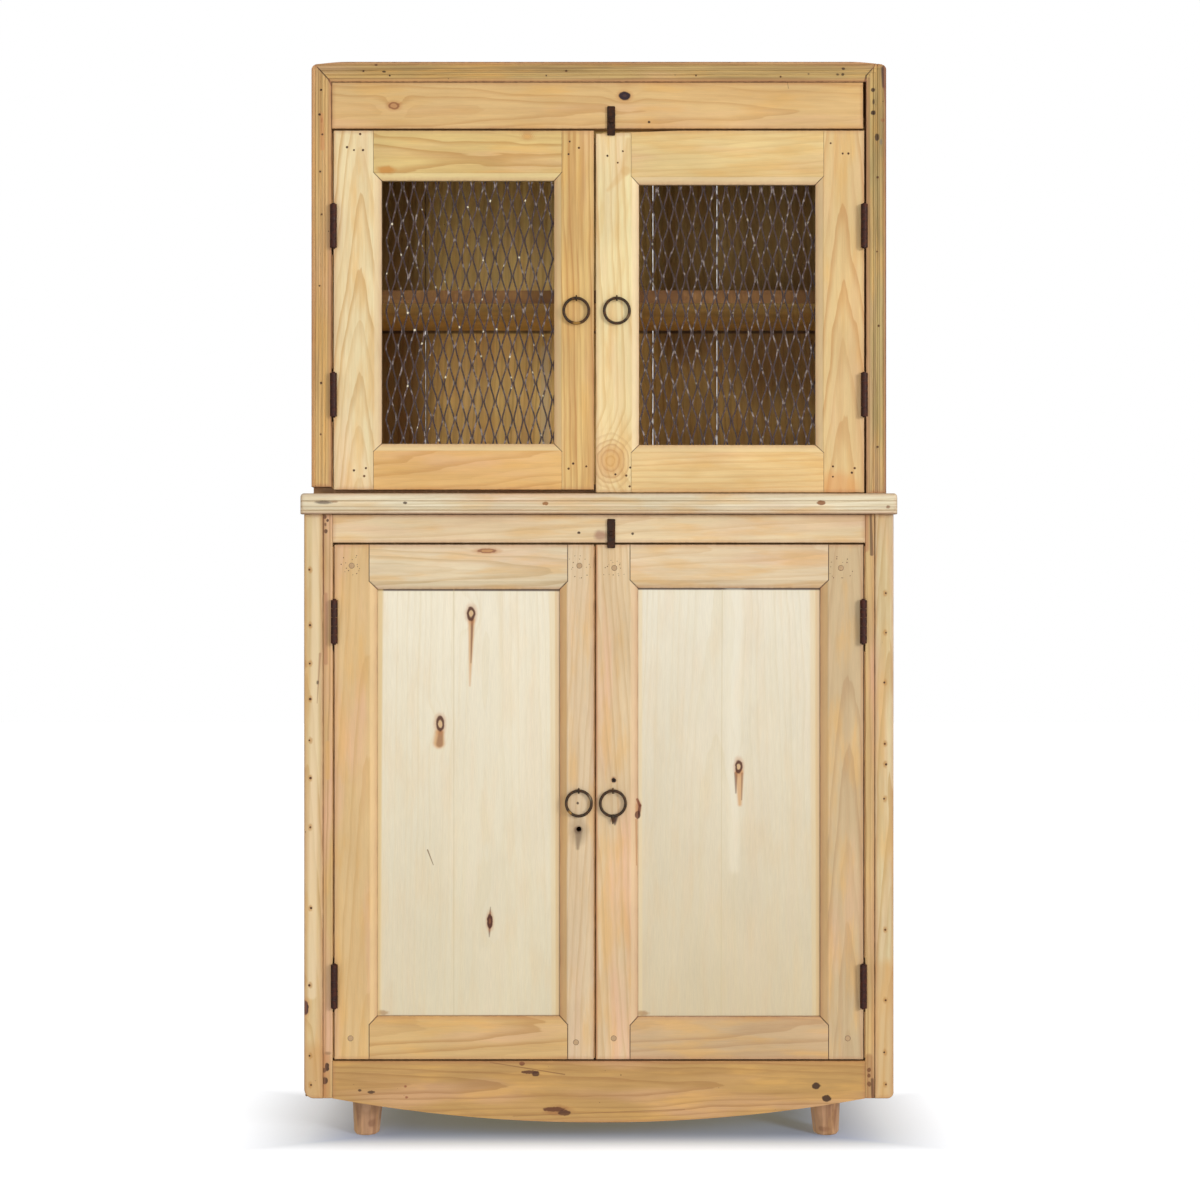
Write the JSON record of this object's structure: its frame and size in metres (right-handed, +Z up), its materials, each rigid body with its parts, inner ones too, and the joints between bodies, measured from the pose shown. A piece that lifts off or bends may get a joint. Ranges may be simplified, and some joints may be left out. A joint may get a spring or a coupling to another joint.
{
  "type": "food safe cupboard",
  "caption": "Tall two-part pine food cupboard: mesh doors over panelled doors, with ring pulls, turn buttons, butt hinges, shelves and stub feet.",
  "frame": {"origin": "on the floor, at the middle of the object's plan", "axes": "+Z up, the door side faces -Y, +X to the right of a person who faces the doors"},
  "size_m": [1.04, 0.46, 1.892],
  "materials": {
    "upper_door_pine": "planed and waxed honey pine",
    "base_door_pine": "planed and waxed pine, a little pinker",
    "pale_panel_pine": "scrubbed pale pine with knots",
    "carcass_pine": "planed and waxed pine",
    "weathered_moulding_pine": "reeded pine, greyed and worm-marked",
    "old_dark_pine": "unfinished old boards, darkened",
    "expanded_metal": "dull grey-brown with pale paint specks",
    "dark_iron": "dark brown rusted iron",
    "ring_iron": "dark iron with worn bright patches"
  },
  "bodies": {
    "cabinet": {"apron": "carcass_pine", "base_back_planks": "old_dark_pine", "base_floor_board": "old_dark_pine", "base_header_rail": "carcass_pine", "base_inner_strips": "carcass_pine", "base_post_left": "carcass_pine", "base_post_right": "carcass_pine", "base_shelf": "old_dark_pine", "base_side_left": "old_dark_pine", "base_side_right": "old_dark_pine", "base_top_board": "old_dark_pine", "button_pivots": "dark_iron", "carcass_hinges": "dark_iron", "door_stops": "old_dark_pine", "feet": "carcass_pine", "upper_back_planks": "old_dark_pine", "upper_bottom_board": "old_dark_pine", "upper_header_rail": "carcass_pine", "upper_shelf": "old_dark_pine", "upper_side_left": "old_dark_pine", "upper_side_right": "old_dark_pine", "upper_strip_left": "weathered_moulding_pine", "upper_strip_right": "weathered_moulding_pine", "upper_strip_top": "weathered_moulding_pine", "upper_top_board": "old_dark_pine", "waist_moulding": "weathered_moulding_pine"},
    "upper_left_door": {"upper_left_hinge_leaves": "dark_iron", "upper_left_mesh": "expanded_metal", "upper_left_rail_bottom": "upper_door_pine", "upper_left_rail_top": "upper_door_pine", "upper_left_staple": "dark_iron", "upper_left_stile_inner": "upper_door_pine", "upper_left_stile_outer": "upper_door_pine"},
    "upper_left_ring_pull": {"upper_left_ring": "ring_iron"},
    "upper_right_door": {"upper_right_hinge_leaves": "dark_iron", "upper_right_mesh": "expanded_metal", "upper_right_rail_bottom": "upper_door_pine", "upper_right_rail_top": "upper_door_pine", "upper_right_staple": "dark_iron", "upper_right_stile_inner": "upper_door_pine", "upper_right_stile_outer": "upper_door_pine"},
    "upper_right_ring_pull": {"upper_right_ring": "ring_iron"},
    "base_left_door": {"base_left_hinge_leaves": "dark_iron", "base_left_panel": "pale_panel_pine", "base_left_rail_bottom": "base_door_pine", "base_left_rail_top": "base_door_pine", "base_left_staple": "dark_iron", "base_left_stile_inner": "base_door_pine", "base_left_stile_outer": "base_door_pine"},
    "base_left_ring_pull": {"base_left_ring": "ring_iron"},
    "base_right_door": {"base_right_hinge_leaves": "dark_iron", "base_right_panel": "pale_panel_pine", "base_right_rail_bottom": "base_door_pine", "base_right_rail_top": "base_door_pine", "base_right_staple": "dark_iron", "base_right_stile_inner": "base_door_pine", "base_right_stile_outer": "base_door_pine"},
    "base_right_ring_pull": {"base_right_ring": "ring_iron"},
    "upper_button": {"upper_turn_button": "dark_iron"},
    "lower_button": {"lower_turn_button": "dark_iron"}
  },
  "joints": [
    {"name": "upper_left_door_hinge", "type": "hinge", "parent": "cabinet", "child": "upper_left_door", "pos_m": [-0.464, -0.213, 1.4565], "axis": [0, 0, -1], "range_deg": [0, 165]},
    {"name": "upper_left_ring_swing", "type": "hinge", "parent": "upper_left_door", "child": "upper_left_ring_pull", "pos_m": [-0.0395, -0.2116, 1.478], "axis": [-1, 0, 0], "range_deg": [0, 150]},
    {"name": "upper_right_door_hinge", "type": "hinge", "parent": "cabinet", "child": "upper_right_door", "pos_m": [0.464, -0.213, 1.4565], "axis": [0, 0, 1], "range_deg": [0, 165]},
    {"name": "upper_right_ring_swing", "type": "hinge", "parent": "upper_right_door", "child": "upper_right_ring_pull", "pos_m": [0.0315, -0.2116, 1.478], "axis": [-1, 0, 0], "range_deg": [0, 150]},
    {"name": "base_left_door_hinge", "type": "hinge", "parent": "cabinet", "child": "base_left_door", "pos_m": [-0.4615, -0.221, 0.594], "axis": [0, 0, -1], "range_deg": [0, 165]},
    {"name": "base_left_ring_swing", "type": "hinge", "parent": "base_left_door", "child": "base_left_ring_pull", "pos_m": [-0.035, -0.2196, 0.617], "axis": [-1, 0, 0], "range_deg": [0, 150]},
    {"name": "base_right_door_hinge", "type": "hinge", "parent": "cabinet", "child": "base_right_door", "pos_m": [0.4615, -0.221, 0.594], "axis": [0, 0, 1], "range_deg": [0, 165]},
    {"name": "base_right_ring_swing", "type": "hinge", "parent": "base_right_door", "child": "base_right_ring_pull", "pos_m": [0.0245, -0.2196, 0.617], "axis": [-1, 0, 0], "range_deg": [0, 150]},
    {"name": "upper_button_turn", "type": "hinge", "parent": "cabinet", "child": "upper_button", "pos_m": [0.0215, -0.2088, 1.7885], "axis": [0, 1, 0], "range_deg": [-90, 90]},
    {"name": "lower_button_turn", "type": "hinge", "parent": "cabinet", "child": "lower_button", "pos_m": [0.0215, -0.2168, 1.066], "axis": [0, 1, 0], "range_deg": [-90, 90]}
  ]
}
